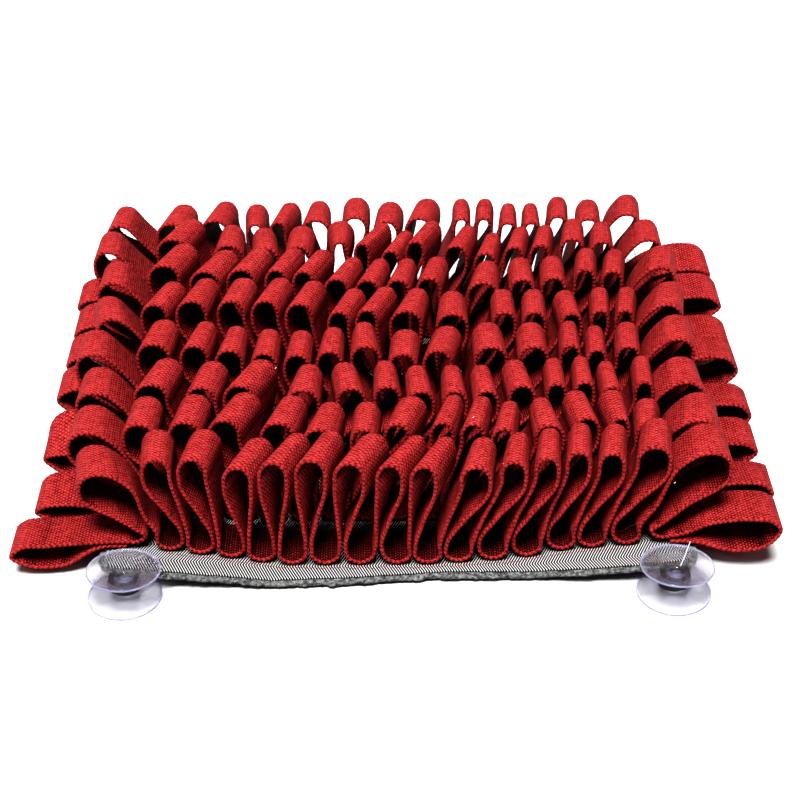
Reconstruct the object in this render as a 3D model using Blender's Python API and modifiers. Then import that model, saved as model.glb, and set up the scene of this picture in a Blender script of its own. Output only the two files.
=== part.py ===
"""Snuffle mat: eight bands of red webbing, each folded into a row of standing loops and sewn
to a herringbone base, with a clear double suction cup held by a black tab at each corner.

Frame: metres, +Z up, origin on the floor under the middle of the mat, +X along the rows.
Lengths below are millimetres; MM turns them into metres where a mesh is made.
"""
import math
from collections import namedtuple

import bmesh
import bpy

MM = 0.001
OBJECT_NAME = "snuffle_mat"

# Webbing band
WEB_WIDTH = 25.0
WEB_THICK = 2.2
ROW_COUNT = 8
ROW_PITCH = 34.5
FRONT_ROW_Y = -123.0     # y of the front row's seam
LOOP_COUNT = 16
SEAM_PITCH = 15.9
SEWN_HALF = 3.8          # half of the flat, sewn bottom between two loops
PINCH_HALF_GAP = 1.45    # half the distance between the two strands at a loop's foot
PINCH_PER_LEAN = 0.016   # and more of it for each millimetre the loop leans over
PINCH_RISE = 9.0         # height of that narrowest place over the seam
CROWN_FLAT = 0.5         # flat part of the crown, as a share of the loop's half width
BEND_DROP = 3.2          # the crown's bend: this far under the crown,
BEND_WIDTH = 0.86        # at this share of the half width
SHOULDER_DROP = 12.0     # a loop's widest place lies this far under its crown
MIDDLE_SHARE = 0.4       # share of the way up from the pinch to the shoulder
LEAN_SHARE = 0.35        # share of a strand's sideways way that lies under that middle
LOOP_HALF_MAX = 8.2
REAR_SHARE = 0.88        # a loop's half width at its rear selvage, as a share of the front's
TRAIL_BEND_DROP = 2.4    # an outermost loop slopes down on the side that it leans away from:
TRAIL_DROP = 6.5         # its bend and its shoulder lie this far under the crown there,
TRAIL_REACH = 1.3        # the shoulder this far out, as a share of the loop's half width
STRAND_PITCH = 4.2       # the least distance between the middles of two strands side by side
SEAM_LIFT = 0.65         # clearance between the base cloth and the band
LIFTED_SEAM = 0.25       # and more where the base curls up

# Lying loop past each end of a row, in the order in which the band runs: from its sewn end
# out over the base's edge, along the belly to the tip, back over the crown and down to the
# side seam, where it turns up into the first standing loop's outer arm. Distances are from
# the middle of the mat.
BAND_END_X = 132.5
LYING_LEAVE_X = 144.0
LYING_BELLY_X = 164.0
BELLY_RISE_MAX = 4.0     # the belly rises at most this far over the place where it leaves
TIP_UNDER_INSET = 5.5    # bend under the tip: how far in from it, and its share of the rise
TIP_UNDER_RISE = 0.30
TIP_OVER_INSET = 4.0     # bend over the tip: how far in from it, and its share of the rise
TIP_OVER_RISE = 0.72
LYING_CROWN_X = 170.0
LYING_MID_X = 152.0
LYING_MID_RISE = 0.70    # share of the crown's rise that is left there
LYING_NEAR_X = 134.5
LYING_NEAR_RISE = 0.06
SEAM_ENTRY_X = 126.4
SIDE_SEAM_X = 123.4
SIDE_SEAM_RISE = 5.2
ARM_X = 128.0
ARM_RISE = 10.6
STACK_GAP = 0.6          # between the band's end and the strand over it

# Base: backing, felt and face cloth
BASE_X = (-144.0, -116.0, -89.0, -62.0, -20.0, 20.0, 62.0, 89.0, 116.0, 144.0)
BASE_Y = (-145.2, -118.0, -90.0, -62.0, 62.0, 90.0, 118.0, 142.0)
BASE_CORNER_CUT = 3.0
LAYER_GAP = 0.35
BACKING_THICK = 1.0
FELT_THICK = 2.0
CLOTH_THICK = 1.0
STACK_HEIGHT = BACKING_THICK + FELT_THICK + CLOTH_THICK + 2 * LAYER_GAP
LIFT_START = 62.0        # the base curls up towards its corners beyond this distance
LIFT_RUN = 82.0
CORNER_LIFT = 8.2

# Suction cups and the tabs that hold them
CUP_X = 132.0
CUP_Y = 150.5
CUP_RADIUS = 18.0
CUP_HEIGHT = 16.3
NECK_RADIUS = 4.0
CUP_SEGMENTS = 16
TAB_HOLE_RADIUS = 4.5
TAB_HALF_WIDTH = 8.0
TAB_OUTER = 8.0          # from the hole's middle to the free end
TAB_INNER = 15.0         # from the hole's middle to the end that is sewn under the base
TAB_THICK = 1.2
TAB_GAP = 0.5            # between the tab and the backing

# Front edge of the base, which is cut a little unevenly, and the front row's seam, which
# wanders away from that edge towards both ends.
SetBack = namedtuple("SetBack", ("x", "distance"))
FRONT_EDGE = ((-144, 0.4), (-116, 0.0), (-89, -0.4), (-62, -0.8), (-20, 0.9),
              (20, 4.4), (62, 4.2), (89, 2.6), (116, 2.0), (144, 2.2))
FRONT_SEAM = ((-170, 0.0), (-125, 8.0), (-80, 3.5), (-50, 0.0), (15, 0.0), (50, 3.0),
              (80, 8.0), (125, 9.0), (170, 0.0))
FRONT_EDGE = tuple(SetBack(*place) for place in FRONT_EDGE)
FRONT_SEAM = tuple(SetBack(*place) for place in FRONT_SEAM)

# Shift of the front row's seams along x, from its second seam to its last but one
FRONT_FEET = (0, -1, -2, -3, -4, -4, -3, -1, -2, -3, -2, -1, 0, -1, 0)

# Half width of the outermost standing loops, rear row first: they flop over and open wider
END_LOOP_HALF = (7.5, 8.0, 8.5, 8.5, 9.0, 9.5, 10.0, 10.5)

# Standing loops, rear row first, left to right: x of the crown at the rear and at the front
# selvage, and its height.
Loop = namedtuple("Loop", ("rear_x", "front_x", "top"))
LOOPS = (
    ((-158, -160, 61), (-124, -130, 62), (-99, -105, 64), (-81, -81, 62),
     (-61, -68, 63), (-44, -46, 64), (-22, -23, 66), (-2, -5, 63),
     (20, 14, 65), (40, 39, 65), (54, 52, 65), (68, 66, 62),
     (81, 80, 62), (97, 95, 66), (115, 113, 64), (138, 135, 67)),
    ((-162, -162, 63), (-116, -126, 71), (-93, -94, 67), (-75, -73, 65),
     (-53, -55, 66), (-31, -31, 69), (-6, -19, 68), (7, -3, 63),
     (22, 11, 69), (43, 34, 66), (57, 51, 61), (73, 67, 65),
     (87, 82, 66), (103, 100, 70), (119, 117, 68), (144, 143, 69)),
    ((-155, -155, 63), (-117, -127, 74), (-94, -105, 70), (-75, -85, 71),
     (-56, -66, 71), (-40, -51, 70), (-23, -33, 65), (-8, -16, 64),
     (7, 1, 64), (24, 18, 65), (52, 48, 62), (70, 70, 64),
     (88, 87, 65), (107, 104, 70), (123, 119, 69), (149, 145, 71)),
    ((-156, -151, 61), (-120, -129, 70), (-102, -109, 72), (-82, -88, 72),
     (-62, -70, 72), (-44, -52, 70), (-22, -31, 65), (-5, -16, 66),
     (12, 5, 65), (31, 30, 63), (58, 58, 64), (75, 74, 64),
     (92, 94, 63), (111, 109, 65), (126, 122, 65), (149, 144, 68)),
    ((-158, -157, 61), (-122, -126, 67), (-100, -105, 66), (-84, -87, 63),
     (-67, -69, 61), (-50, -52, 60), (-33, -35, 62), (-17, -16, 65),
     (5, 3, 60), (27, 21, 62), (48, 49, 64), (71, 71, 64),
     (91, 90, 65), (105, 104, 62), (122, 120, 64), (147, 145, 68)),
    ((-152, -152, 60), (-117, -124, 65), (-94, -99, 63), (-69, -80, 64),
     (-45, -48, 61), (-27, -23, 62), (-6, -5, 63), (10, 12, 60),
     (28, 29, 60), (43, 45, 60), (60, 63, 63), (80, 80, 64),
     (94, 94, 65), (107, 108, 62), (125, 124, 65), (145, 145, 64)),
    ((-151, -151, 60), (-124, -126, 65), (-100, -104, 66), (-75, -85, 67),
     (-52, -59, 65), (-33, -39, 61), (-15, -17, 61), (7, -1, 64),
     (28, 21, 65), (42, 36, 64), (56, 51, 61), (71, 74, 63),
     (88, 92, 67), (106, 108, 67), (124, 120, 62), (149, 146, 65)),
    ((-147, -142, 55), (-116, -115, 65), (-93, -98, 66), (-67, -77, 62),
     (-48, -60, 66), (-32, -42, 68), (-12, -24, 66), (9, -5, 65),
     (23, 11, 64), (41, 36, 63), (58, 54, 65), (73, 70, 66),
     (88, 85, 67), (105, 101, 65), (125, 121, 68), (149, 148, 64)),
)
LOOPS = tuple(tuple(Loop(*loop) for loop in row) for row in LOOPS)

# Lying loops, rear row first, left end and right end: how far the loop reaches from the
# middle, its crown's height at the rear and at the front selvage, the height of its tip and
# that of its belly's underside.
Lying = namedtuple("Lying", ("reach", "rear_crown", "front_crown", "tip", "belly"))
LYING = (
    ((178, 26, 24, 18, 10), (188, 35, 30, 26, 15)),
    ((183, 33, 33, 27, 17), (189, 34, 32, 25, 15)),
    ((180, 37, 36, 29, 18), (189, 26, 27, 19, 9)),
    ((179, 39, 38, 32, 20), (187, 33, 36, 25, 14)),
    ((179, 40, 40, 33, 21), (189, 25, 28, 19, 9)),
    ((182, 35, 23, 20, 9), (186, 27, 27, 21, 11)),
    ((182, 20, 17, 12, 5), (188, 23, 28, 20, 10)),
    ((189, 17, 19, 11, 4), (185, 31, 32, 25, 10)),
)
LYING = tuple(tuple(Lying(*end) for end in row) for row in LYING)

# Half of a cup's section, from the upper hollow down its outer side
SectionPoint = namedtuple("SectionPoint", ("radius", "height"))
CUP_SECTION = ((0.0, 12.7), (10.0, 13.7), (17.2, CUP_HEIGHT), (CUP_RADIUS, CUP_HEIGHT),
               (CUP_RADIUS, 15.6), (10.0, 12.8), (5.0, 11.9), (NECK_RADIUS, 11.5),
               (NECK_RADIUS, 4.4), (5.0, 4.0), (10.0, 3.2), (CUP_RADIUS, 0.7),
               (CUP_RADIUS, 0.0), (17.2, 0.0), (10.0, 2.2), (0.0, 3.1))
CUP_SECTION = tuple(SectionPoint(*point) for point in CUP_SECTION)

# Linear colours of the materials, with roughness
COLOURS = {
    "red_webbing": ((0.42, 0.012, 0.014, 1.0), 0.85),
    "herringbone_cloth": ((0.32, 0.32, 0.32, 1.0), 0.9),
    "grey_felt": ((0.20, 0.21, 0.20, 1.0), 0.95),
    "black_backing": ((0.012, 0.012, 0.013, 1.0), 0.9),
    "black_tape": ((0.008, 0.008, 0.009, 1.0), 0.8),
    "clear_vinyl": ((0.82, 0.80, 0.90, 1.0), 0.08),
}


def clear_scene():
    for item in list(bpy.data.objects):
        bpy.data.objects.remove(item, do_unlink=True)


def make_material(name):
    colour, roughness = COLOURS[name]
    material = bpy.data.materials.new(name)
    material.use_nodes = True
    shader = material.node_tree.nodes["Principled BSDF"]
    shader.inputs["Base Color"].default_value = colour
    shader.inputs["Roughness"].default_value = roughness
    shader.inputs["Metallic"].default_value = 0.0
    return material


def add_object(name, mesh, material, collection):
    item = bpy.data.objects.new(name, mesh)
    collection.objects.link(item)
    mesh.materials.append(material)
    return item


def add_solidify(item, thickness, offset):
    shell = item.modifiers.new("thickness", "SOLIDIFY")
    shell.thickness = thickness * MM
    shell.offset = offset
    shell.use_even_offset = True


def set_back(places, x):
    """Distance at x, in proportion between two places and constant past the outer ones."""
    if x <= places[0].x:
        return places[0].distance
    for left, right in zip(places, places[1:]):
        if x <= right.x:
            share = (x - left.x) / (right.x - left.x)
            return left.distance + share * (right.distance - left.distance)
    return places[-1].distance


def base_lift(x, y):
    """Height of the base's underside: flat on the floor, curled up towards the corners."""
    ramp_x = max(0.0, abs(x) - LIFT_START) / LIFT_RUN
    ramp_y = max(0.0, abs(y) - LIFT_START) / LIFT_RUN
    return CORNER_LIFT * ramp_x * ramp_y


def seam_height(x, y):
    """Height of the band's middle where it is sewn to the face cloth."""
    lift = base_lift(x, y)
    return lift + STACK_HEIGHT + SEAM_LIFT + LIFTED_SEAM * min(1.0, lift) + WEB_THICK / 2


# Base layers

def base_layer(name, bottom, thickness, material, collection):
    """A layer of the base: a grid laid over the lift, thickened upwards."""
    columns, rows = len(BASE_X) - 1, len(BASE_Y) - 1
    bm = bmesh.new()
    bmesh.ops.create_grid(bm, x_segments=columns, y_segments=rows, size=1.0)
    for vert in bm.verts:
        column = round((vert.co.x + 1.0) / 2.0 * columns)
        row = round((vert.co.y + 1.0) / 2.0 * rows)
        x, y = BASE_X[column], BASE_Y[row]
        if row == 0:
            y += set_back(FRONT_EDGE, x)
        if column in (0, columns) and row in (0, rows):
            x -= math.copysign(BASE_CORNER_CUT, x)
            y -= math.copysign(BASE_CORNER_CUT, y)
        vert.co = (x * MM, y * MM, (base_lift(x, y) + bottom) * MM)
    mesh = bpy.data.meshes.new(name)
    bm.to_mesh(mesh)
    bm.free()
    layer = add_object(name, mesh, material, collection)
    add_solidify(layer, thickness, 1.0)
    return layer


# Webbing rows

def seam_feet(row):
    """The x of the upright seams of a row, left to right."""
    count = LOOP_COUNT - 1
    feet = [(index - (count - 1) / 2) * SEAM_PITCH for index in range(count)]
    if row == ROW_COUNT - 1:
        feet = [foot + shift for foot, shift in zip(feet, FRONT_FEET)]
    return feet


def seam_line(row, x):
    """The y of a row's seam at x."""
    y = FRONT_ROW_Y + (ROW_COUNT - 1 - row) * ROW_PITCH
    if row == ROW_COUNT - 1:
        y += set_back(FRONT_SEAM, x)
    return y


def crown_place(row, index, selvage):
    """The x of a standing loop's crown at the rear selvage (1) or the front one (-1)."""
    loop = LOOPS[row][index]
    return loop.rear_x if selvage > 0 else loop.front_x


def loop_half(row, index, selvage):
    """Half width of a standing loop, from the room between its neighbours' crowns."""
    last = LOOP_COUNT - 1
    share = REAR_SHARE if selvage > 0 else 1.0
    end_half = END_LOOP_HALF[row] * share
    if index in (0, last):
        return end_half
    crown_x = crown_place(row, index, selvage)
    before = crown_x - crown_place(row, index - 1, selvage)
    after = crown_place(row, index + 1, selvage) - crown_x
    half = min(LOOP_HALF_MAX, (min(before, after) - STRAND_PITCH) / 2)
    if index == 1:
        half = min(half, before - TRAIL_REACH * end_half - STRAND_PITCH)
    if index == last - 1:
        half = min(half, after - TRAIL_REACH * end_half - STRAND_PITCH)
    return half * share


def pinch_place(row, index, selvage, feet):
    """The x of the narrowest place under a standing loop, and half its strands' distance."""
    crown_x = crown_place(row, index, selvage)
    left = feet[index - 1] if index > 0 else feet[index] - SEAM_PITCH
    right = feet[index] if index < len(feet) else feet[index - 1] + SEAM_PITCH
    pinch_x = (left + right) / 2
    return pinch_x, PINCH_HALF_GAP + PINCH_PER_LEAN * abs(crown_x - pinch_x)


def lying_loop(row, side, selvage):
    """Points of the lying loop at the left end (-1) or the right end (1) of a row."""
    end = LYING[row][0 if side < 0 else 1]
    crown = (end.rear_crown if selvage > 0 else end.front_crown) - WEB_THICK / 2
    tip_x = end.reach - WEB_THICK / 2
    belly = end.belly + WEB_THICK / 2
    inner_y = seam_line(row, side * SIDE_SEAM_X) + selvage * WEB_WIDTH / 2
    outer_y = seam_line(row, side * LYING_LEAVE_X) + selvage * WEB_WIDTH / 2
    root = seam_height(side * BAND_END_X, inner_y)
    leave = seam_height(side * LYING_LEAVE_X, outer_y)
    seam = seam_height(side * SIDE_SEAM_X, inner_y)
    over = WEB_THICK + STACK_GAP
    rise = crown - root - over
    points = [
        (BAND_END_X, root),
        (LYING_LEAVE_X, leave),
        (LYING_BELLY_X, min(belly, leave + BELLY_RISE_MAX)),
        (tip_x - TIP_UNDER_INSET, belly + TIP_UNDER_RISE * (end.tip - belly)),
        (tip_x, end.tip),
        (tip_x - TIP_OVER_INSET, end.tip + TIP_OVER_RISE * (crown - end.tip)),
        (LYING_CROWN_X, crown),
        (LYING_MID_X, root + over + LYING_MID_RISE * rise),
        (LYING_NEAR_X, root + over + LYING_NEAR_RISE * rise),
        (SEAM_ENTRY_X, seam + over),
        (SIDE_SEAM_X, seam + SIDE_SEAM_RISE),
        (ARM_X, seam + ARM_RISE),
    ]
    edge = selvage * WEB_WIDTH / 2
    return [(side * x, seam_line(row, side * x) + edge, z) for x, z in points]


def standing_loop(row, index, selvage, feet):
    """Points of a standing loop from the middle of its left strand to that of its right one."""
    crown_x = crown_place(row, index, selvage)
    top = LOOPS[row][index].top - WEB_THICK / 2
    half = loop_half(row, index, selvage)
    pinch_x, gap = pinch_place(row, index, selvage, feet)
    y = seam_line(row, pinch_x) + selvage * WEB_WIDTH / 2
    pinch = PINCH_RISE + seam_height(pinch_x, y)
    left_pinch = pinch_x - gap if index > 0 else -ARM_X
    right_pinch = pinch_x + gap if index < len(feet) else ARM_X
    shoulder = top - SHOULDER_DROP
    middle = pinch + MIDDLE_SHARE * (shoulder - pinch)
    flat, bend = CROWN_FLAT * half, BEND_WIDTH * half
    points = [
        (left_pinch + LEAN_SHARE * (crown_x - half - left_pinch), middle),
        (crown_x - half, shoulder),
        (crown_x - bend, top - BEND_DROP),
        (crown_x - flat, top),
        (crown_x + flat, top),
        (crown_x + bend, top - BEND_DROP),
        (crown_x + half, shoulder),
        (right_pinch + LEAN_SHARE * (crown_x + half - right_pinch), middle),
    ]
    if index == 0:
        points[5:7] = [(crown_x + bend, top - TRAIL_BEND_DROP),
                       (crown_x + TRAIL_REACH * half, top - TRAIL_DROP)]
    if index == len(feet):
        points[1:3] = [(crown_x - TRAIL_REACH * half, top - TRAIL_DROP),
                       (crown_x - bend, top - TRAIL_BEND_DROP)]
    return [(x, y, z) for x, z in points]


def sewn_bottom(row, index, selvage, feet):
    """Points of the sewn bottom after a standing loop, with the strands beside it."""
    x = feet[index]
    y = seam_line(row, x) + selvage * WEB_WIDTH / 2
    ground = seam_height(x, y)
    left_x, left_gap = pinch_place(row, index, selvage, feet)
    right_x, right_gap = pinch_place(row, index + 1, selvage, feet)
    points = [
        (left_x + left_gap, ground + PINCH_RISE),
        (x - SEWN_HALF, ground),
        (x + SEWN_HALF, ground),
        (right_x - right_gap, ground + PINCH_RISE),
    ]
    return [(px, y, z) for px, z in points]


def selvage_path(row, selvage):
    """The whole run of one selvage of a row, from its left end to its right end."""
    feet = seam_feet(row)
    path = lying_loop(row, -1, selvage)
    for index in range(LOOP_COUNT):
        path += standing_loop(row, index, selvage, feet)
        if index < len(feet):
            path += sewn_bottom(row, index, selvage, feet)
    return path + lying_loop(row, 1, selvage)[::-1]


def webbing_row(row, material, collection):
    """One band of webbing: the face between its two selvages, thickened both ways."""
    name = f"webbing_row_{row + 1}"
    bm = bmesh.new()
    chains = []
    for selvage in (-1, 1):
        verts = [bm.verts.new((x * MM, y * MM, z * MM)) for x, y, z in selvage_path(row, selvage)]
        chains += [bm.edges.new(pair) for pair in zip(verts, verts[1:])]
    bmesh.ops.bridge_loops(bm, edges=chains)
    bmesh.ops.recalc_face_normals(bm, faces=bm.faces)
    mesh = bpy.data.meshes.new(name)
    bm.to_mesh(mesh)
    bm.free()
    band = add_object(name, mesh, material, collection)
    add_solidify(band, WEB_THICK, 0.0)
    return band


# Cups and tabs

def suction_cup(name, x, y, material, collection):
    """A double suction cup: a half section turned about its neck."""
    mesh = bpy.data.meshes.new(name)
    verts = [(point.radius * MM, 0.0, point.height * MM) for point in CUP_SECTION]
    mesh.from_pydata(verts, [(i, i + 1) for i in range(len(verts) - 1)], [])
    cup = add_object(name, mesh, material, collection)
    cup.location = (x * MM, y * MM, 0.0)
    turn = cup.modifiers.new("turn", "SCREW")
    turn.steps = CUP_SEGMENTS
    turn.render_steps = CUP_SEGMENTS
    turn.use_merge_vertices = True
    turn.merge_threshold = 0.00001
    turn.use_smooth_shade = True
    return cup


def tab_edge(angle, toward_base):
    """Outer edge of a tab in the direction of an angle, seen from the middle of its hole."""
    dx, dy = math.cos(angle), math.sin(angle)
    length = TAB_INNER if dy * toward_base > 0 else TAB_OUTER
    reach = 1.0 / max(abs(dx) / TAB_HALF_WIDTH, abs(dy) / length)
    return dx * reach, dy * reach


def cup_tab(name, x, y, material, collection):
    """A tape tab under the base's edge: a ring of faces about its hole, laid on the lift."""
    toward_base = -1.0 if y > 0 else 1.0
    bm = bmesh.new()
    rings = ([], [])
    for step in range(CUP_SEGMENTS):
        angle = 2 * math.pi * step / CUP_SEGMENTS
        hole = (TAB_HOLE_RADIUS * math.cos(angle), TAB_HOLE_RADIUS * math.sin(angle))
        for ring, (dx, dy) in zip(rings, (hole, tab_edge(angle, toward_base))):
            z = base_lift(x + dx, y + dy) - TAB_GAP - TAB_THICK
            ring.append(bm.verts.new(((x + dx) * MM, (y + dy) * MM, z * MM)))
    edges = []
    for ring in rings:
        edges += [bm.edges.new(pair) for pair in zip(ring, ring[1:] + ring[:1])]
    bmesh.ops.bridge_loops(bm, edges=edges)
    for face in bm.faces:
        face.normal_update()
        if face.normal.z < 0:
            face.normal_flip()
    mesh = bpy.data.meshes.new(name)
    bm.to_mesh(mesh)
    bm.free()
    tab = add_object(name, mesh, material, collection)
    add_solidify(tab, TAB_THICK, 1.0)
    return tab


def build():
    clear_scene()
    collection = bpy.data.collections.new(OBJECT_NAME)
    bpy.context.scene.collection.children.link(collection)
    materials = {name: make_material(name) for name in COLOURS}

    felt_bottom = BACKING_THICK + LAYER_GAP
    cloth_bottom = felt_bottom + FELT_THICK + LAYER_GAP
    base_layer("base_backing", 0.0, BACKING_THICK, materials["black_backing"], collection)
    base_layer("base_felt", felt_bottom, FELT_THICK, materials["grey_felt"], collection)
    base_layer("base_cloth", cloth_bottom, CLOTH_THICK, materials["herringbone_cloth"], collection)

    for row in range(ROW_COUNT):
        webbing_row(row, materials["red_webbing"], collection)

    for side_x, across in ((-1, "left"), (1, "right")):
        for side_y, along in ((-1, "front"), (1, "rear")):
            corner = f"{along}_{across}"
            x, y = side_x * CUP_X, side_y * CUP_Y
            suction_cup(f"suction_cup_{corner}", x, y, materials["clear_vinyl"], collection)
            cup_tab(f"cup_tab_{corner}", x, y, materials["black_tape"], collection)


build()
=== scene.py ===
"""The look of the snuffle mat: eight folded bands of coarse red webbing on a herringbone base,
with a felt edge, and a clear double suction cup on a black tab at each corner.

Lengths are millimetres, and MM turns them into metres; a name that ends in _M is in metres.
"""
import math
from collections import namedtuple

import bmesh
import bpy
import numpy as np
from mathutils import Matrix, Vector, noise


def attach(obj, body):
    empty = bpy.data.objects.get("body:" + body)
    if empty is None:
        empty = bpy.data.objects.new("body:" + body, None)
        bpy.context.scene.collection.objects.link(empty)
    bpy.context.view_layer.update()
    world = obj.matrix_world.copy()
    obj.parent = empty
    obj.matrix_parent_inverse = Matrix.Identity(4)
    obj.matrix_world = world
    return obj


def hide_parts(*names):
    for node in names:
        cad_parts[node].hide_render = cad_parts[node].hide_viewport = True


MM = 0.001

# Webbing band
WEB_WIDTH = 25.0
WEB_THICK = 2.2
ROW_COUNT = 8
ROW_PITCH = 34.5
FRONT_ROW_Y = -123.0     # y of the front row's seam
LOOP_COUNT = 16
SEAM_PITCH = 15.9
PINCH_HALF_GAP = 1.45    # half the distance between the two strands at a loop's foot
PINCH_PER_LEAN = 0.016   # and more of it for each millimetre the loop leans over
PINCH_RISE = 9.0         # height of that narrowest place over the seam
CROWN_FLAT = 0.5         # flat part of the crown, as a share of the loop's half width
BEND_DROP = 3.2          # the crown's bend: this far under the crown,
BEND_WIDTH = 0.86        # at this share of the half width
SHOULDER_DROP = 12.0     # a loop's widest place lies this far under its crown
MIDDLE_SHARE = 0.4       # share of the way up from the pinch to the shoulder
LEAN_SHARE = 0.35        # share of a strand's sideways way that lies under that middle
LOOP_HALF_MAX = 8.2
HAUNCH_HALF = 5.7        # the sewn bottom is round: this far out from its middle,
HAUNCH_RISE = 2.9        # at this height
REAR_SHARE = 0.88        # a loop's half width at its rear selvage, as a share of the front's
TRAIL_BEND_DROP = 2.4    # an outermost loop slopes down on the side that it leans away from:
TRAIL_DROP = 6.5         # its bend and its shoulder lie this far under the crown there,
TRAIL_REACH = 1.3        # the shoulder this far out, as a share of the loop's half width
STRAND_PITCH = 4.2       # the least distance between the middles of two strands side by side
SEAM_LIFT = 0.65         # clearance between the base cloth and the band
LIFTED_SEAM = 0.25       # and more where the base curls up

# Lying loop past each end of a row, from the band's sewn end out to the tip, back over the
# crown and down to the side seam, then up into the first standing loop's outer arm.
BAND_END_X = 132.5
LYING_LEAVE_X = 144.0
LYING_BELLY_X = 164.0
BELLY_RISE_MAX = 4.0
TIP_UNDER_INSET = 5.5
TIP_UNDER_RISE = 0.30
TIP_OVER_INSET = 4.0
TIP_OVER_RISE = 0.72
LYING_CROWN_X = 170.0
LYING_MID_X = 152.0
LYING_MID_RISE = 0.70
LYING_NEAR_X = 134.5
LYING_NEAR_RISE = 0.06
SEAM_ENTRY_X = 126.4
SIDE_SEAM_X = 123.4
SIDE_SEAM_RISE = 5.2
ARM_X = 128.0
ARM_RISE = 10.6
STACK_GAP = 0.6          # between the band and the band's end that it lies over

# Base: how it curls up towards its corners
STACK_HEIGHT = 4.7       # the three layers together
LIFT_START = 62.0        # it lies flat up to this far out in x or in y,
LIFT_RUN = 82.0          # and over this run from there
CORNER_LIFT = 8.2        # a corner comes up by this much

# Weave of the webbing
RIB_PITCH = 1.45         # from one weft rib to the next along the band
YARN_PITCH = 1.0         # from one warp yarn to the next across the band
SCALLOP_PITCH = 2.5      # from one turn of the weft at the selvage to the next
STEPS_PER_SCALLOP = 4
FINE_STEPS = 24          # curve points worked out between two places of a band
BAND_WELD_M = 1e-6
RIB_HEIGHT = 0.10
SELVAGE_HEIGHT = 0.31    # scallops along the edge,
SELVAGE_SET_IN = 0.4     # which lie in from it by this share of their height
SELVAGE_UNEVEN = 0.5     # they differ by up to this share
SELVAGE_DRIFT = 0.07     # and change that along the band, in radians per millimetre
EDGE_START = 11.6        # the braided edge begins this far from the band's middle
BEND_SPAN = 3            # steps to either side over which a bend is measured
BEND_FULL = 0.10         # one over the radius of a bend at which the weave opens fully and the painted light and shade are full

# Height that the webbing's colour and bump read, from about 0 in a gap to 1 on a yarn
FACE_LEVEL = 0.56        # the face's middle,
OUTER_BEND_LIGHT = 0.12       # higher on the outer side of a bend, a painted light,
INNER_FOLD_SHADE = 0.30       # and lower still on the inner side of a fold, a painted shade
RIB_RELIEF = 0.13
RIB_FADE = 0.08          # the ribs lose this much, and the crossings
CROSSING_RELIEF = 0.30
CROSSING_FADE = 0.03     # this much, where the face is stretched
BEAD_RELIEF = 0.08
YARN_RELIEF = 0.04
BRAID_LEVEL = 0.62
BRAID_RELIEF = 0.13
BRAID_SLANT = 0.45       # turns of the braid for each millimetre from the band's middle plane
FIBRE_STRETCH = (0.9, 3.0, 3.0)          # fibres are longer along the band

# The front row's seam isn't straight: how far it is set back at each x, and how far each of
# its upright seams lies to the right of its place in an even row
SetBack = namedtuple("SetBack", ("x", "distance"))
FRONT_SEAM = ((-170, 0.0), (-125, 8.0), (-80, 3.5), (-50, 0.0), (15, 0.0), (50, 3.0),
              (80, 8.0), (125, 9.0), (170, 0.0))
FRONT_SEAM = tuple(SetBack(*place) for place in FRONT_SEAM)
FRONT_FEET = (0, -1, -2, -3, -4, -4, -3, -1, -2, -3, -2, -1, 0, -1, 0)

# Half width of the outermost standing loops, rear row first: they flop over and open wider
END_LOOP_HALF = (7.5, 8.0, 8.5, 8.5, 9.0, 9.5, 10.0, 10.5)

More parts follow.
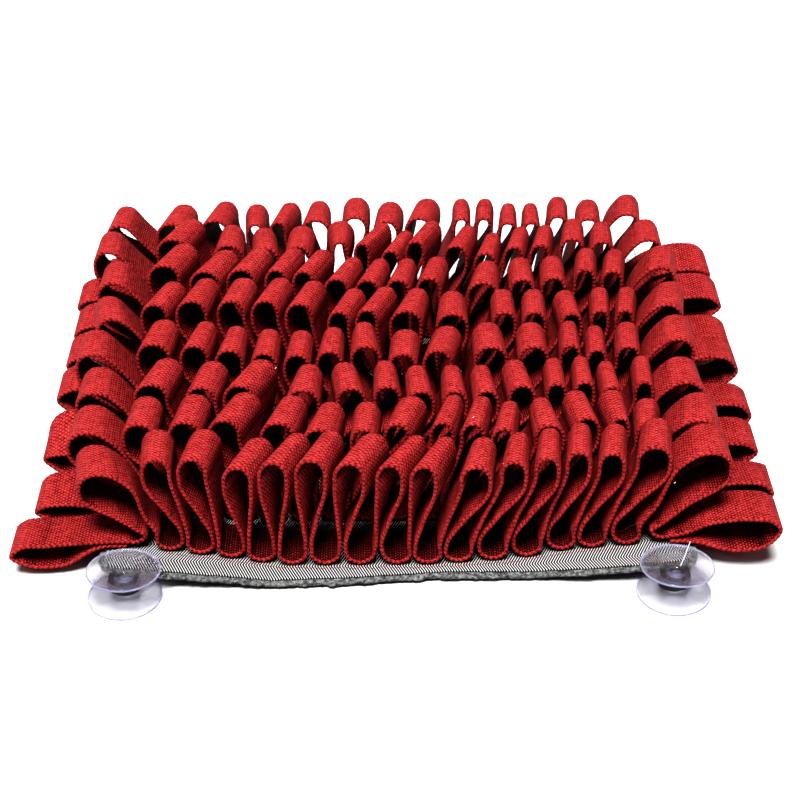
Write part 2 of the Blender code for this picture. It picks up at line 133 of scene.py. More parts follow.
# Standing loops, rear row first, left to right: x of the crown at the rear and at the front
# selvage, and its height.
Loop = namedtuple("Loop", ("rear_x", "front_x", "top"))
LOOPS = (
    ((-158, -160, 61), (-124, -130, 62), (-99, -105, 64), (-81, -81, 62),
     (-61, -68, 63), (-44, -46, 64), (-22, -23, 66), (-2, -5, 63),
     (20, 14, 65), (40, 39, 65), (54, 52, 65), (68, 66, 62),
     (81, 80, 62), (97, 95, 66), (115, 113, 64), (138, 135, 67)),
    ((-162, -162, 63), (-116, -126, 71), (-93, -94, 67), (-75, -73, 65),
     (-53, -55, 66), (-31, -31, 69), (-6, -19, 68), (7, -3, 63),
     (22, 11, 69), (43, 34, 66), (57, 51, 61), (73, 67, 65),
     (87, 82, 66), (103, 100, 70), (119, 117, 68), (144, 143, 69)),
    ((-155, -155, 63), (-117, -127, 74), (-94, -105, 70), (-75, -85, 71),
     (-56, -66, 71), (-40, -51, 70), (-23, -33, 65), (-8, -16, 64),
     (7, 1, 64), (24, 18, 65), (52, 48, 62), (70, 70, 64),
     (88, 87, 65), (107, 104, 70), (123, 119, 69), (149, 145, 71)),
    ((-156, -151, 61), (-120, -129, 70), (-102, -109, 72), (-82, -88, 72),
     (-62, -70, 72), (-44, -52, 70), (-22, -31, 65), (-5, -16, 66),
     (12, 5, 65), (31, 30, 63), (58, 58, 64), (75, 74, 64),
     (92, 94, 63), (111, 109, 65), (126, 122, 65), (149, 144, 68)),
    ((-158, -157, 61), (-122, -126, 67), (-100, -105, 66), (-84, -87, 63),
     (-67, -69, 61), (-50, -52, 60), (-33, -35, 62), (-17, -16, 65),
     (5, 3, 60), (27, 21, 62), (48, 49, 64), (71, 71, 64),
     (91, 90, 65), (105, 104, 62), (122, 120, 64), (147, 145, 68)),
    ((-152, -152, 60), (-117, -124, 65), (-94, -99, 63), (-69, -80, 64),
     (-45, -48, 61), (-27, -23, 62), (-6, -5, 63), (10, 12, 60),
     (28, 29, 60), (43, 45, 60), (60, 63, 63), (80, 80, 64),
     (94, 94, 65), (107, 108, 62), (125, 124, 65), (145, 145, 64)),
    ((-151, -151, 60), (-124, -126, 65), (-100, -104, 66), (-75, -85, 67),
     (-52, -59, 65), (-33, -39, 61), (-15, -17, 61), (7, -1, 64),
     (28, 21, 65), (42, 36, 64), (56, 51, 61), (71, 74, 63),
     (88, 92, 67), (106, 108, 67), (124, 120, 62), (149, 146, 65)),
    ((-147, -142, 55), (-116, -115, 65), (-93, -98, 66), (-67, -77, 62),
     (-48, -60, 66), (-32, -42, 68), (-12, -24, 66), (9, -5, 65),
     (23, 11, 64), (41, 36, 63), (58, 54, 65), (73, 70, 66),
     (88, 85, 67), (105, 101, 65), (125, 121, 68), (149, 148, 64)),
)
LOOPS = tuple(tuple(Loop(*loop) for loop in row) for row in LOOPS)

# Lying loops, rear row first, left end and right end: how far the loop reaches from the
# middle, its crown's height at the rear and at the front selvage, the height of its tip and
# that of its belly's underside.
Lying = namedtuple("Lying", ("reach", "rear_crown", "front_crown", "tip", "belly"))
LYING = (
    ((178, 26, 24, 18, 10), (188, 35, 30, 26, 15)),
    ((183, 33, 33, 27, 17), (189, 34, 32, 25, 15)),
    ((180, 37, 36, 29, 18), (189, 26, 27, 19, 9)),
    ((179, 39, 38, 32, 20), (187, 33, 36, 25, 14)),
    ((179, 40, 40, 33, 21), (189, 25, 28, 19, 9)),
    ((182, 35, 23, 20, 9), (186, 27, 27, 21, 11)),
    ((182, 20, 17, 12, 5), (188, 23, 28, 20, 10)),
    ((189, 17, 19, 11, 4), (185, 31, 32, 25, 10)),
)
LYING = tuple(tuple(Lying(*end) for end in row) for row in LYING)

# Base outline, and the front edge that is cut a little unevenly
BASE_HALF_X = 144.0
BASE_FRONT = -145.2
BASE_REAR = 142.0
CORNER_ROUND = 7.0
BASE_COLUMNS = 230
BASE_LINES = 44
FRONT_EDGE = ((-144, 0.4), (-116, 0.0), (-89, -0.4), (-62, -0.8), (-20, 0.9),
              (20, 4.4), (62, 4.2), (89, 2.6), (116, 2.0), (144, 2.2))
FRONT_EDGE = tuple(SetBack(*place) for place in FRONT_EDGE)

# Layers of the base: the height of the underside and the thickness, how far the layer reaches
# past the outline, and how ragged its edge is
Layer = namedtuple("Layer", ("name", "node", "slot", "bottom", "thickness", "grow", "ragged"))
BACKING = Layer("backing_cloth", "base_backing", "backing", 0.0, 1.0, 0.0, 0.15)
FELT = Layer("felt_pad", "base_felt", "felt", 1.35, 2.0, 1.2, 1.0)
FACE = Layer("herringbone_face", "base_cloth", "face_cloth", 3.65, 0.95, -1.4, 0.35)
EDGE_ROUND = 0.32        # bevel of a layer's edge, as a share of its thickness
SHARP_ANGLE = 1.0        # an edge sharper than this, in radians, is bevelled
RAGGED_DEPTH = 3.0       # the unevenness dies out this far in from the edge
RAGGED_FINE = 0.45       # bumps to the millimetre, small ones
RAGGED_COARSE = 0.11     # and long ones
RAGGED_RISE = 0.3        # up and down as a share of in and out
EDGE_SEED = 7            # gives the edges the same noise in each run

# Seam thread on the cloth before the front row
SEAM_THREAD_REACH = 112.0
SEAM_THREAD_OUT = 1.1    # this far in front of the front row's selvage
SEAM_THREAD_THICK = 0.22
SEAM_THREAD_LIFT = 0.12  # a stitch's ends lie this far over the cloth, its middle twice as far
SEAM_THREAD_WANDER = 1.4
SEAM_THREAD_BENDS = 0.2  # to the millimetre
SEAM_THREAD_LINE = 3.0   # the line of the noise that it follows
STITCH_LENGTH = 2.6
STITCH_SPACING = 1.25 * STITCH_LENGTH

# Loose ends of thread: places in x, y and z
LOOSE_ENDS = (
    ((104.0, -119.0, 14.0), (107.5, -126.5, 18.0), (113.0, -129.5, 24.0), (119.5, -128.5, 27.5)),
    ((80.0, -126.0, 10.0), (82.0, -130.0, 16.0), (83.0, -130.5, 23.0), (86.0, -129.5, 28.0)),
)
LOOSE_END_THICK = 0.13
# Specks of pale lint caught on the webbing: places in x, y and z, and how far each reaches
LINT_SPECKS = (
    (131.6, -126.5, 47.0), (36.0, -98.5, 66.4), (-61.0, -64.0, 73.2), (49.0, -131.2, 62.6),
)
LINT_REACH = (0.8, 0.2, 0.5)
LINT_THICK = 0.4
# Sprue left at the hub of the front right cup
SPRUE = ((134.6, -147.6, 13.3), (137.8, -141.0, 14.6), (140.9, -134.2, 17.4))
SPRUE_THICK = 0.6
STRAND_STEPS = 6         # curve points worked out between two places of a strand

# Patterns of the base and the tabs
STRIPE_PITCH = 1.34      # herringbone stripes, along x
HERRING_BAND = 12.5      # from one turning line to the next
HERRING_START = 147.5    # places the turning lines
HERRING_SLANT = 0.45     # how far a stripe moves in x for each millimetre in y
PICK_PITCH = 0.7
PICK_RELIEF = 0.08
DOT_PITCH = 2.4
DOT_RELIEF = 0.3
STITCH_PITCH = 3.2       # of the seams on the underside,
STITCH_HALF = 0.4        # which show this far to either side of their line
STITCH_GAP = -0.5        # a stitch shows where its wave is over this
TAPE_RIB = 0.9

# Cups and tabs
CUP_X = 132.0
CUP_Y = 150.5
CUP_HEIGHT = 16.3
CUP_RADIUS = 17.95
RIM_START = 15.9         # the vinyl turns violet from this radius out
DISH_RUN = 3.0           # over this height above a cup's middle its lean sets in
CUP_STEPS = 72
SECTION_STEPS = 4        # curve points worked out between two points of a cup's section
CUP_WELD = 1e-4
TAB_HOLE_RADIUS = 4.5
TAB_HALF_WIDTH = 8.0
TAB_INNER = 15.0
TAB_THICK = 1.2
TAB_GAP = 0.5
TAB_EDGE = 0.3
TAB_STEPS = 48
TAB_RINGS = 3            # rings of edges between a tab's hole and its rim
RING_STEP = 2.0          # an edge that leads this far outward runs from the hole to the rim
# How a cup leans: its top's shift, and the fall of its upper dish to the right and the rear
Lean = namedtuple("Lean", ("x", "y", "tip_x", "tip_y"))
CUP_LEAN = {"front_left": Lean(0.8, 0.0, 0.01, 0.085), "front_right": Lean(0.6, 0.2, 0.02, 0.085),
            "rear_left": Lean(0.3, -0.2, 0.02, -0.04), "rear_right": Lean(-0.3, 0.1, -0.02, -0.05)}
# Half of a cup's section: radius and height, from the middle of the upper hollow, with its
# hub ring, over the rim and down the outer side, to the middle of the lower hollow
CUP_SECTION = (
    (0.0, 12.3), (2.8, 12.3), (3.4, 12.75), (4.2, 12.95), (4.9, 12.7), (5.4, 12.5),
    (9.0, 13.2), (13.0, 14.5), (16.4, 15.9), (17.3, 16.3), (17.85, 16.2), (17.95, 15.7),
    (16.6, 14.8), (13.2, 13.2), (9.0, 11.9), (5.6, 11.1), (4.2, 10.3), (4.0, 9.0),
    (4.0, 6.4), (4.2, 5.2), (5.6, 4.5), (9.0, 3.7), (13.2, 2.4), (16.6, 1.1),
    (17.9, 0.55), (17.95, 0.15), (17.4, 0.0), (16.4, 0.45), (13.0, 1.5), (9.0, 2.3),
    (5.0, 2.9), (0.0, 3.1),
)

# Grains of the surfaces: bumps to the metre, or on a band to the millimetre, and how much
# they add to the height or the tone, or to what is named here
Grain = namedtuple("Grain", ("scale", "amount", "detail", "roughness"), defaults=(1.0, 2.0, 0.5))
WEAVE_DRIFT = Grain(0.25, 0.6)           # the count of ribs and yarns
BRAID_DRIFT = Grain(0.7, 0.9)            # the count of turns
WEB_FIBRES = Grain(1.5, 0.75, 3.0, 0.65)
WEB_UNEVEN = Grain(0.55, 0.6)
WEB_PATCHES = Grain(0.06, 0.25)
HERRING_WANDER = Grain(60.0, 0.6 * MM)   # the stripes' place in x
HERRING_FIBRES = Grain(2600.0, 0.5, 3.0, 0.6)
FELT_CLUMPS = Grain(520.0, 0.65, 3.0, 0.6)
FELT_FLECKS = Grain(2000.0, 0.5, 4.0, 0.75)
BACKING_WEAVE = Grain(1800.0, 0.7, 3.0, 0.6)
TAPE_FIBRES = Grain(1500.0, 0.3)
VINYL_FLOW = Grain(90.0)
FROSTED_TONE = Grain(700.0)
LINT_TONE = Grain(2200.0, detail=3.0)
THREAD_TONE = Grain(900.0)

# Colours, in linear red, green and blue, at their places from a surface's low to its high parts
# The webbing's red: its low stops are a painted shade, near black, in the gaps of the weave
WEBBING_REDS_GAP_SHADE = ((0.20, (0.020, 0.0007, 0.0008)), (0.42, (0.13, 0.005, 0.006)),
                (0.62, (0.31, 0.022, 0.023)), (0.95, (0.48, 0.070, 0.071)))
HERRING_GREYS = ((0.40, (0.004, 0.004, 0.004)), (0.64, (0.09, 0.089, 0.087)),
                 (0.94, (0.62, 0.61, 0.605)))
FELT_GREYS = ((0.44, (0.016, 0.016, 0.016)), (0.55, (0.085, 0.087, 0.085)),
              (0.65, (0.20, 0.203, 0.199)), (0.80, (0.40, 0.405, 0.40)))
BACKING_BLACKS = ((0.2, (0.004, 0.004, 0.004)), (0.8, (0.030, 0.030, 0.031)))
TAPE_BLACKS = ((0.2, (0.002, 0.002, 0.002)), (1.0, (0.020, 0.019, 0.020)))
CLEAR_WHITES = ((0.3, (0.95, 0.95, 0.96)), (0.9, (0.90, 0.90, 0.925)))
FROSTED_WHITES = ((0.3, (0.55, 0.54, 0.62)), (0.8, (0.80, 0.80, 0.84)))
LINT_PINKS = ((0.3, (0.45, 0.40, 0.40)), (0.7, (0.85, 0.82, 0.82)))
THREAD_REDS = ((0.3, (0.20, 0.01, 0.012)), (0.8, (0.46, 0.06, 0.06)))
# Single colours: darker patches of the webbing, the seams underneath, and the vinyl where it
# is seen aslant, at its rims and through its depth
WEB_PATCH_TINT = (0.45, 0.30, 0.30)
SEAM_RED = (0.32, 0.008, 0.01)
ASLANT_VIOLET = (0.28, 0.25, 0.66)
RIM_VIOLET = (0.40, 0.39, 0.74)
DEPTH_VIOLET = (0.55, 0.52, 0.94)
FLOOR_COLOUR = (0.60, 0.60, 0.605)

# Clear vinyl: its haze, how fast it swallows light, and what its violet rims take and add
VINYL_HAZE = ((0.3, (0.0, 0.0, 0.0)), (0.8, (0.02, 0.02, 0.02)))
VINYL_DENSITY = 35.0
VINYL_IOR = 1.42
VINYL_COVER = 0.55
VINYL_CLEARNESS = 0.98
ASLANT_POWER = 3.0
RIM_TINT = 0.8
RIM_COVER = 0.4

# Camera
CAMERA_PLACE = (-7.72, -800.09, 554.54)
CAMERA_PITCH = math.radians(34.228)      # down from the horizon
CAMERA_YAW = math.radians(-0.701)
CAMERA_LENS = 79.4
CAMERA_SENSOR = 36.0
CAMERA_NEAR_M = 0.01

# Light and floor
WORLD_STRENGTH = 0.06
KEY_TOWARD = (0.12, 0.48, -1.35)
KEY_STRENGTH = 5.9
KEY_SPREAD = math.radians(22.0)
Strip = namedtuple("Strip", ("name", "place_m", "size_m", "power"))
STRIPS = (Strip("left_strip", (-0.7, -0.8, 1.0), 0.25, 1.3),
          Strip("right_strip", (0.8, -0.7, 1.0), 0.20, 0.4))
FLOOR_REACH_M = 40.0
FLOOR_DROP_M = 0.0005

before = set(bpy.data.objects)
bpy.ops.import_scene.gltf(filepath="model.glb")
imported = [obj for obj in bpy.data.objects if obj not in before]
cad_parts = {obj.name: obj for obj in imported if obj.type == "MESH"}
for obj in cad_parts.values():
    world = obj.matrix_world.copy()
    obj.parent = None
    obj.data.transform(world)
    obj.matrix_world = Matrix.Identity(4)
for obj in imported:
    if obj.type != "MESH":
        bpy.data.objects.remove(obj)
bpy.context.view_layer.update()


# Shared

def link(name, data):
    """A new object of a mesh, curve, camera or light, in the scene."""
    item = bpy.data.objects.new(name, data)
    bpy.context.scene.collection.objects.link(item)
    return item


def link_mesh(bm, name, material, smooth):
    """A new object of a finished shape in its material."""
    mesh = bpy.data.meshes.new(name)
    bm.to_mesh(mesh)
    bm.free()
    mesh.polygons.foreach_set("use_smooth", [smooth] * len(mesh.polygons))
    mesh.materials.append(material)
    return link(name, mesh)


def fit_piece(piece, node):
    """Hangs a piece under the root, where it stays, and hides the node of the fixed frame that it
    stands for.
    """
    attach(piece, "root")
    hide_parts(node)


def thicken(bm, thickness):
    """Gives a flat shape its thickness, upwards, with its faces looking out."""
    top = bmesh.ops.extrude_face_region(bm, geom=bm.faces[:])["geom"]
    raised = [item for item in top if isinstance(item, bmesh.types.BMVert)]
    bmesh.ops.translate(bm, verts=raised, vec=(0.0, 0.0, thickness))
    bmesh.ops.recalc_face_normals(bm, faces=bm.faces)


def to_metres(bm):
    """Turns a shape in millimetres into one in metres."""
    bmesh.ops.scale(bm, vec=(MM, MM, MM), verts=bm.verts)


def opaque(colour):
    """A colour's red, green and blue with full cover; a node's output stays as it is."""
    return colour if isinstance(colour, bpy.types.NodeSocket) else (*colour, 1.0)


class Graph:
    """A material's nodes, made in short calls."""

    def __init__(self, name):
        self.material = bpy.data.materials.new(name)
        self.material.use_nodes = True
        self.tree = self.material.node_tree
        self.shader = self.tree.nodes["Principled BSDF"]

    def feed(self, socket, value):
        """Links a node's output to a socket, or sets the socket to a plain value."""
        if isinstance(value, bpy.types.NodeSocket):
            self.tree.links.new(value, socket)
        else:
            socket.default_value = value

    def add(self, kind, inputs=(), **settings):
        """A new node with its settings and inputs."""
        node = self.tree.nodes.new(kind)
        for key, value in settings.items():
            setattr(node, key, value)
        for key, value in dict(inputs).items():
            self.feed(node.inputs[key], value)
        return node

    def math(self, operation, first, second=0.0):
        return self.add("ShaderNodeMath", {0: first, 1: second}, operation=operation).outputs[0]

    def plus(self, first, second):
        return self.math("ADD", first, second)

    def minus(self, first, second):
        return self.math("SUBTRACT", first, second)

    def times(self, first, second):
        return self.math("MULTIPLY", first, second)

    def wave(self, value, pitch, kind="SINE"):
        """A wave from -1 to 1 that repeats in every pitch of the value."""
        return self.math(kind, self.times(value, 2 * math.pi / pitch))

    def attribute(self, name):
        return self.add("ShaderNodeAttribute", attribute_name=name)

    def object_place(self):
        return self.add("ShaderNodeTexCoord").outputs["Object"]

    def parts(self, vector):
        return self.add("ShaderNodeSeparateXYZ", {0: vector}).outputs

    def noise(self, place, grain, middle=0.0):
        """Noise from 0 to 1, less its middle, times the grain's amount."""
        inputs = {"Vector": place, "Scale": grain.scale, "Detail": grain.detail,
                  "Roughness": grain.roughness}
        value = self.add("ShaderNodeTexNoise", inputs).outputs[0]
        return self.times(self.minus(value, middle), grain.amount)

    def ramp(self, value, stops):
        """The colour at a value among stops, each a place and a colour."""
        node = self.add("ShaderNodeValToRGB", {0: value})
        band = node.color_ramp
        while len(band.elements) < len(stops):
            band.elements.new(0.5)
        for element, (place, colour) in zip(band.elements, stops):
            element.position = place
            element.color = opaque(colour)
        return node.outputs[0]

    def mix(self, share, first, second, blend="MIX"):
        """One colour over another, by this share."""
        inputs = {0: share, 6: opaque(first), 7: opaque(second)}
        return self.add("ShaderNodeMix", inputs, data_type="RGBA", blend_type=blend).outputs[2]

    def bump(self, height, depth, strength=1.0):
        """Gives the surface a relief of this depth in millimetres."""
        inputs = {"Height": height, "Distance": depth * MM, "Strength": strength}
        self.feed(self.shader.inputs["Normal"], self.add("ShaderNodeBump", inputs).outputs[0])

    def finish(self, colour, **values):
        """The finished material, with the colour and the other values that its shader gets."""
        self.feed(self.shader.inputs["Base Color"], opaque(colour))
        for key, value in values.items():
            self.feed(self.shader.inputs[key.replace("_", " ")], value)
        return self.material


# The run of a band, the same as its solid's

def set_back(places, x):
    """Distance at x, in proportion between two places and constant past the outer ones."""
    return float(np.interp(x, [place.x for place in places], [place.distance for place in places]))


def base_lift(x, y):
    """Height of the base's underside: flat on the floor, curled up towards the corners."""
    ramp_x = max(0.0, abs(x) - LIFT_START) / LIFT_RUN
    ramp_y = max(0.0, abs(y) - LIFT_START) / LIFT_RUN
    return CORNER_LIFT * ramp_x * ramp_y


def seam_height(x, y):
    """Height of the band's middle where it is sewn to the face cloth."""
    lift = base_lift(x, y)
    return lift + STACK_HEIGHT + SEAM_LIFT + LIFTED_SEAM * min(1.0, lift) + WEB_THICK / 2


def seam_feet(row):
    """The x of the upright seams of a row, left to right."""
    count = LOOP_COUNT - 1
    feet = [(index - (count - 1) / 2) * SEAM_PITCH for index in range(count)]
    if row == ROW_COUNT - 1:
        feet = [foot + shift for foot, shift in zip(feet, FRONT_FEET)]
    return feet


def seam_line(row, x):
    """The y of a row's seam at x."""
    y = FRONT_ROW_Y + (ROW_COUNT - 1 - row) * ROW_PITCH
    if row == ROW_COUNT - 1:
        y += set_back(FRONT_SEAM, x)
    return y


def selvage_y(row, x, selvage):
    """The y of a row's rear selvage (1) or front one (-1) over its seam at x."""
    return seam_line(row, x) + selvage * WEB_WIDTH / 2


def crown_place(row, index, selvage):
    """The x of a standing loop's crown at the rear selvage (1) or the front one (-1)."""
    loop = LOOPS[row][index]
    return loop.rear_x if selvage > 0 else loop.front_x


def loop_half(row, index, selvage):
    """Half width of a standing loop, from the room between its neighbours' crowns."""
    last = LOOP_COUNT - 1
    share = REAR_SHARE if selvage > 0 else 1.0
    end_half = END_LOOP_HALF[row] * share
    if index in (0, last):
        return end_half
    crown_x = crown_place(row, index, selvage)
    before = crown_x - crown_place(row, index - 1, selvage)
    after = crown_place(row, index + 1, selvage) - crown_x
    half = min(LOOP_HALF_MAX, (min(before, after) - STRAND_PITCH) / 2)
    if index == 1:
        half = min(half, before - TRAIL_REACH * end_half - STRAND_PITCH)
    if index == last - 1:
        half = min(half, after - TRAIL_REACH * end_half - STRAND_PITCH)
    return half * share


def pinch_place(row, index, selvage, feet):
    """The x of the narrowest place under a standing loop, and half its strands' distance."""
    crown_x = crown_place(row, index, selvage)
    left = feet[index - 1] if index > 0 else feet[index] - SEAM_PITCH
    right = feet[index] if index < len(feet) else feet[index - 1] + SEAM_PITCH
    pinch_x = (left + right) / 2
    return pinch_x, PINCH_HALF_GAP + PINCH_PER_LEAN * abs(crown_x - pinch_x)


# A place the band runs through; where level is set, it runs level there.
Place = namedtuple("Place", ("x", "y", "z", "level"), defaults=(False,))


def lying_loop(row, side, selvage):
    """Places of the lying loop at the left end (-1) or the right end (1) of a row."""
    end = LYING[row][0 if side < 0 else 1]
    crown = (end.rear_crown if selvage > 0 else end.front_crown) - WEB_THICK / 2
    tip_x = end.reach - WEB_THICK / 2
    belly = end.belly + WEB_THICK / 2
    inner_y = selvage_y(row, side * SIDE_SEAM_X, selvage)
    outer_y = selvage_y(row, side * LYING_LEAVE_X, selvage)
    root = seam_height(side * BAND_END_X, inner_y)
    leave = seam_height(side * LYING_LEAVE_X, outer_y)
    seam = seam_height(side * SIDE_SEAM_X, inner_y)
    over = WEB_THICK + STACK_GAP
    rise = crown - root - over
    points = [
        (BAND_END_X, root),
        (LYING_LEAVE_X, leave),
        (LYING_BELLY_X, min(belly, leave + BELLY_RISE_MAX)),
        (tip_x - TIP_UNDER_INSET, belly + TIP_UNDER_RISE * (end.tip - belly)),
        (tip_x, end.tip),
        (tip_x - TIP_OVER_INSET, end.tip + TIP_OVER_RISE * (crown - end.tip)),
        (LYING_CROWN_X, crown),
        (LYING_MID_X, root + over + LYING_MID_RISE * rise),
        (LYING_NEAR_X, root + over + LYING_NEAR_RISE * rise),
        (SEAM_ENTRY_X, seam + over),
        (SIDE_SEAM_X, seam + SIDE_SEAM_RISE),
        (ARM_X, seam + ARM_RISE),
    ]
    return [Place(side * x, selvage_y(row, side * x, selvage), z) for x, z in points]


def standing_loop(row, index, selvage, feet):
    """Places of a standing loop from the middle of its left strand to that of its right one."""
    crown_x = crown_place(row, index, selvage)
    top = LOOPS[row][index].top - WEB_THICK / 2
    half = loop_half(row, index, selvage)
    pinch_x, gap = pinch_place(row, index, selvage, feet)
    y = selvage_y(row, pinch_x, selvage)
    pinch = PINCH_RISE + seam_height(pinch_x, y)
    left_pinch = pinch_x - gap if index > 0 else -ARM_X
    right_pinch = pinch_x + gap if index < len(feet) else ARM_X
    shoulder = top - SHOULDER_DROP
    middle = pinch + MIDDLE_SHARE * (shoulder - pinch)
    flat, bend = CROWN_FLAT * half, BEND_WIDTH * half
    points = [
        (left_pinch + LEAN_SHARE * (crown_x - half - left_pinch), middle),
        (crown_x - half, shoulder),
        (crown_x - bend, top - BEND_DROP),
        (crown_x - flat, top),
        (crown_x + flat, top),
        (crown_x + bend, top - BEND_DROP),
        (crown_x + half, shoulder),
        (right_pinch + LEAN_SHARE * (crown_x + half - right_pinch), middle),
    ]
    if index == 0:
        points[5:7] = [(crown_x + bend, top - TRAIL_BEND_DROP),
                       (crown_x + TRAIL_REACH * half, top - TRAIL_DROP)]
    if index == len(feet):
        points[1:3] = [(crown_x - TRAIL_REACH * half, top - TRAIL_DROP),
                       (crown_x - bend, top - TRAIL_BEND_DROP)]
    return [Place(x, y, z) for x, z in points]


def sewn_bottom(row, index, selvage, feet):
    """Places of the sewn bottom after a standing loop, with the strands beside it."""
    x = feet[index]
    y = selvage_y(row, x, selvage)
    ground = seam_height(x, y)
    left_x, left_gap = pinch_place(row, index, selvage, feet)
    right_x, right_gap = pinch_place(row, index + 1, selvage, feet)
    return [
        Place(left_x + left_gap, y, ground + PINCH_RISE),
        Place(x - HAUNCH_HALF, y, ground + HAUNCH_RISE),
        Place(x, y, ground, level=True),
        Place(x + HAUNCH_HALF, y, ground + HAUNCH_RISE),
        Place(right_x - right_gap, y, ground + PINCH_RISE),
    ]


def selvage_path(row, selvage):
    """The whole run of one selvage of a row, from its left end to its right end."""
    feet = seam_feet(row)
    path = lying_loop(row, -1, selvage)
    for index in range(LOOP_COUNT):
        path += standing_loop(row, index, selvage, feet)
        if index < len(feet):
            path += sewn_bottom(row, index, selvage, feet)
    return path + lying_loop(row, 1, selvage)[::-1]


def smooth_run(path, steps_between=FINE_STEPS):
    """A smooth curve through the places, as an array of points in millimetres."""
    points = np.array([place[:3] for place in path])
    level = np.array([place.level for place in path])
    steps = np.diff(points, axis=0)
    length = np.linalg.norm(steps, axis=1)
    aim = steps / length[:, None]
    tangent = np.empty_like(points)
    tangent[0], tangent[-1] = aim[0], aim[-1]
    before, after = length[:-1, None], length[1:, None]
    tangent[1:-1] = (aim[:-1] * after + aim[1:] * before) / (before + after)
    tangent[level, 2] = 0.0
    share = np.linspace(0.0, 1.0, steps_between, endpoint=False)[None, :, None]
    start, end = points[:-1, None], points[1:, None]
    leave = tangent[:-1, None] * length[:, None, None]
    arrive = tangent[1:, None] * length[:, None, None]
    square, cube = share ** 2, share ** 3
    curve = ((2 * cube - 3 * square + 1) * start + (cube - 2 * square + share) * leave
             + (3 * square - 2 * cube) * end + (cube - square) * arrive)
    return np.vstack([curve.reshape(-1, 3), points[-1:]])


# Cross section of the webbing, all round: how far across the band from its middle and how far
# out from its middle plane, the share of the scallops that a point carries, and where in
# their turn it lies. The flat faces end at the margins, and the edges are round.
SectionPoint = namedtuple("SectionPoint", ("across", "out", "edge", "turn"))
FACE_MARGIN = 1.25
SHOULDER_MARGIN = 0.35
FACE_ACROSS = WEB_WIDTH / 2 - FACE_MARGIN
SHOULDER_ACROSS = WEB_WIDTH / 2 - SHOULDER_MARGIN
FACE_OUT = WEB_THICK / 2 - RIB_HEIGHT / 2
SHOULDER_OUT = 0.78
SECTION = (
    (-FACE_ACROSS, FACE_OUT, 0.0, 0.0), (FACE_ACROSS, FACE_OUT, 0.0, 0.0),
    (SHOULDER_ACROSS, SHOULDER_OUT, 0.7, 0.25), (WEB_WIDTH / 2, 0.0, 1.0, 0.5),
    (SHOULDER_ACROSS, -SHOULDER_OUT, 0.7, 0.75),
    (FACE_ACROSS, -FACE_OUT, 0.0, 0.5), (-FACE_ACROSS, -FACE_OUT, 0.0, 0.5),
    (-SHOULDER_ACROSS, -SHOULDER_OUT, 0.7, 0.75), (-WEB_WIDTH / 2, 0.0, 1.0, 0.5),
    (-SHOULDER_ACROSS, SHOULDER_OUT, 0.7, 0.25),
)
SECTION = tuple(SectionPoint(*point) for point in SECTION)


def bend_of(line):
    """How tightly a run bends at each step, positive where its upper face is stretched."""
    ahead = np.roll(line, -BEND_SPAN, axis=0) - line
    behind = line - np.roll(line, BEND_SPAN, axis=0)
    turn = behind[:, 0] * ahead[:, 2] - behind[:, 2] * ahead[:, 0]
    reach = np.linalg.norm(ahead, axis=1) * np.linalg.norm(behind, axis=1)
    bend = -turn / reach / (BEND_SPAN * SCALLOP_PITCH / STEPS_PER_SCALLOP)
    bend[:BEND_SPAN] = bend[-BEND_SPAN:] = 0.0
    return np.clip(bend / BEND_FULL, -1.0, 1.0)


def even_selvages(row):
    """A band's front and rear selvage as points at even steps along its middle, and how far
    along the band each step lies."""
    front, rear = smooth_run(selvage_path(row, -1)), smooth_run(selvage_path(row, 1))
    middle = (front + rear) / 2
    run = np.concatenate([[0.0], np.cumsum(np.linalg.norm(np.diff(middle, axis=0), axis=1))])
    count = int(run[-1] / SCALLOP_PITCH * STEPS_PER_SCALLOP)
    along = np.linspace(0.0, run[-1], count + 1)
    front = np.column_stack([np.interp(along, run, front[:, axis]) for axis in range(3)])
    rear = np.column_stack([np.interp(along, run, rear[:, axis]) for axis in range(3)])
    return front, rear, along


def band_surface(row):
    """Points of a band's skin by step and section point, their places in the weave with the
    bend there, and the band's length."""
    front, rear, along = even_selvages(row)
    across = rear - front
    across /= np.linalg.norm(across, axis=1)[:, None]
    bend = bend_of((front + rear) / 2)
    count = len(along)
    skin = np.empty((count, len(SECTION), 3))
    weave = np.empty((count, len(SECTION), 4))
    for index, point in enumerate(SECTION):
        share = point.across / WEB_WIDTH + 0.5
        line = front + (rear - front) * share
        heading = np.gradient(line, axis=0)
        out = np.cross(heading, across)
        out /= np.linalg.norm(out, axis=1)[:, None]
        phase = 2 * math.pi * (along / SCALLOP_PITCH + point.turn)
        swell = RIB_HEIGHT / 2 * np.cos(phase) * (1.0 - point.edge) * np.sign(point.out)
        differing = np.cos(math.pi * along / SCALLOP_PITCH + row) * np.sin(along * SELVAGE_DRIFT)
        scallop = np.cos(phase) * (1.0 + SELVAGE_UNEVEN * differing) - SELVAGE_SET_IN
        scallop *= SELVAGE_HEIGHT * point.edge
        skin[:, index] = (line + out * (point.out + swell)[:, None]
                          + across * (scallop * np.sign(point.across))[:, None])
        weave[:, index] = np.column_stack([along, np.full(count, point.across),
                                           np.full(count, point.out), bend * np.sign(point.out)])
    return skin, weave, along[-1]


